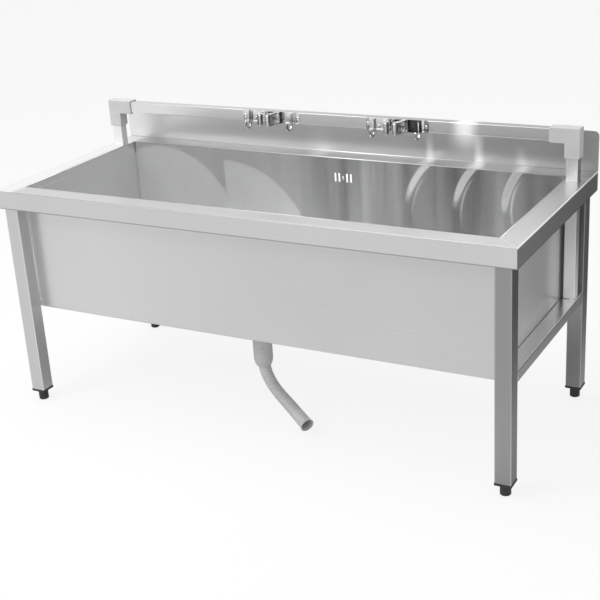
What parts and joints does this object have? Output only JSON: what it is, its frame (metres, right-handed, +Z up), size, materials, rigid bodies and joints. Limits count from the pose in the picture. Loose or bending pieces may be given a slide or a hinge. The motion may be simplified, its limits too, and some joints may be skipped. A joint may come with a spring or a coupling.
{
  "type": "mop sink",
  "caption": "Deep folded-sheet mop sink on square tube legs with levelling feet, a rear splash, a hose waste, and a back rail with roller handle clamps and hooks.",
  "frame": {"origin": "on the floor under the middle of the rim", "axes": "+X along the sink to the viewer's right, +Y back to the splash and the wall, +Z up"},
  "size_m": [1.4, 0.6, 0.7307],
  "materials": {
    "brushed_steel": "fine satin grain along the sheet",
    "basin_steel": "satin, grain along the long walls",
    "tube_steel": "satin, grain along the tube",
    "polished_steel": "bright polished",
    "roller_steel": "turned and polished",
    "spring_steel": "plain wire",
    "light_grey_plastic": "moulded, matte",
    "grey_plastic": "moulded, smooth",
    "hose_plastic": "ribbed, slightly glossy",
    "white_plastic": "moulded, slight gloss",
    "black_plastic": "moulded, matte",
    "black_rubber": "plain rubber"
  },
  "bodies": {
    "stand": {"rim_frame": "brushed_steel", "basin": "basin_steel", "backsplash": "brushed_steel", "rail": "brushed_steel", "holder_screws": "polished_steel", "jaw_pivot_pins": "polished_steel", "drain_flange": "polished_steel", "drain_seal": "black_rubber", "drain_locknut": "grey_plastic", "drain_body": "grey_plastic", "hose_nut": "grey_plastic", "drain_hose": "hose_plastic", "hose_cuff": "hose_plastic", "overflow_housing": "white_plastic", "overflow_seal": "black_rubber", "overflow_screw": "polished_steel", "overflow_pipe": "hose_plastic", "side_stretcher_left": "tube_steel", "upright_left": "tube_steel", "corner_sleeve_left": "light_grey_plastic", "leg_front_left": "tube_steel", "foot_plug_front_left": "black_plastic", "leg_back_left": "tube_steel", "foot_plug_back_left": "black_plastic", "side_stretcher_right": "tube_steel", "upright_right": "tube_steel", "corner_sleeve_right": "light_grey_plastic", "leg_front_right": "tube_steel", "foot_plug_front_right": "black_plastic", "leg_back_right": "tube_steel", "foot_plug_back_right": "black_plastic", "holder_plate_a": "polished_steel", "holder_hooks_a": "polished_steel", "clamp_bracket_a": "polished_steel", "jaw_spring_a_left": "spring_steel", "jaw_spring_a_right": "spring_steel", "holder_plate_b": "polished_steel", "holder_hooks_b": "polished_steel", "clamp_bracket_b": "polished_steel", "jaw_spring_b_left": "spring_steel", "jaw_spring_b_right": "spring_steel"},
    "foot_front_left": {"foot_front_left": "black_plastic"},
    "foot_back_left": {"foot_back_left": "black_plastic"},
    "foot_front_right": {"foot_front_right": "black_plastic"},
    "foot_back_right": {"foot_back_right": "black_plastic"},
    "jaw_a_left": {"jaw_a_left": "polished_steel", "roller_axle_a_left": "polished_steel"},
    "roller_a_left": {"roller_a_left": "roller_steel"},
    "jaw_a_right": {"jaw_a_right": "polished_steel", "roller_axle_a_right": "polished_steel"},
    "roller_a_right": {"roller_a_right": "roller_steel"},
    "jaw_b_left": {"jaw_b_left": "polished_steel", "roller_axle_b_left": "polished_steel"},
    "roller_b_left": {"roller_b_left": "roller_steel"},
    "jaw_b_right": {"jaw_b_right": "polished_steel", "roller_axle_b_right": "polished_steel"},
    "roller_b_right": {"roller_b_right": "roller_steel"},
    "strainer_basket": {"strainer_basket": "polished_steel"}
  },
  "joints": [
    {"name": "foot_front_left_level", "type": "slide", "parent": "stand", "child": "foot_front_left", "axis": [0, 0, -1], "range_m": [0, 0.02]},
    {"name": "foot_back_left_level", "type": "slide", "parent": "stand", "child": "foot_back_left", "axis": [0, 0, -1], "range_m": [0, 0.02]},
    {"name": "foot_front_right_level", "type": "slide", "parent": "stand", "child": "foot_front_right", "axis": [0, 0, -1], "range_m": [0, 0.02]},
    {"name": "foot_back_right_level", "type": "slide", "parent": "stand", "child": "foot_back_right", "axis": [0, 0, -1], "range_m": [0, 0.02]},
    {"name": "jaw_a_left_swing", "type": "hinge", "parent": "stand", "child": "jaw_a_left", "pos_m": [-0.172, 0.1745, 0.712], "axis": [0, 0, -1], "range_deg": [0, 35], "stiffness_Nm_per_rad": 0.2, "springref_deg": -20.05, "deforming": ["jaw_spring_a_left"]},
    {"name": "roller_a_left_spin", "type": "hinge", "parent": "jaw_a_left", "child": "roller_a_left", "pos_m": [-0.162, 0.1525, 0.712], "axis": [0, 0, 1], "continuous": true},
    {"name": "jaw_a_right_swing", "type": "hinge", "parent": "stand", "child": "jaw_a_right", "pos_m": [-0.128, 0.1745, 0.712], "axis": [0, 0, 1], "range_deg": [0, 35], "stiffness_Nm_per_rad": 0.2, "springref_deg": -20.05, "deforming": ["jaw_spring_a_right"]},
    {"name": "roller_a_right_spin", "type": "hinge", "parent": "jaw_a_right", "child": "roller_a_right", "pos_m": [-0.138, 0.1525, 0.712], "axis": [0, 0, 1], "continuous": true},
    {"name": "jaw_b_left_swing", "type": "hinge", "parent": "stand", "child": "jaw_b_left", "pos_m": [0.193, 0.1745, 0.712], "axis": [0, 0, -1], "range_deg": [0, 35], "stiffness_Nm_per_rad": 0.2, "springref_deg": -20.05, "deforming": ["jaw_spring_b_left"]},
    {"name": "roller_b_left_spin", "type": "hinge", "parent": "jaw_b_left", "child": "roller_b_left", "pos_m": [0.203, 0.1525, 0.712], "axis": [0, 0, 1], "continuous": true},
    {"name": "jaw_b_right_swing", "type": "hinge", "parent": "stand", "child": "jaw_b_right", "pos_m": [0.237, 0.1745, 0.712], "axis": [0, 0, 1], "range_deg": [0, 35], "stiffness_Nm_per_rad": 0.2, "springref_deg": -20.05, "deforming": ["jaw_spring_b_right"]},
    {"name": "roller_b_right_spin", "type": "hinge", "parent": "jaw_b_right", "child": "roller_b_right", "pos_m": [0.227, 0.1525, 0.712], "axis": [0, 0, 1], "continuous": true},
    {"name": "basket_lift", "type": "slide", "parent": "stand", "child": "strainer_basket", "axis": [0, 0, 1], "range_m": [0, 0.08]}
  ]
}
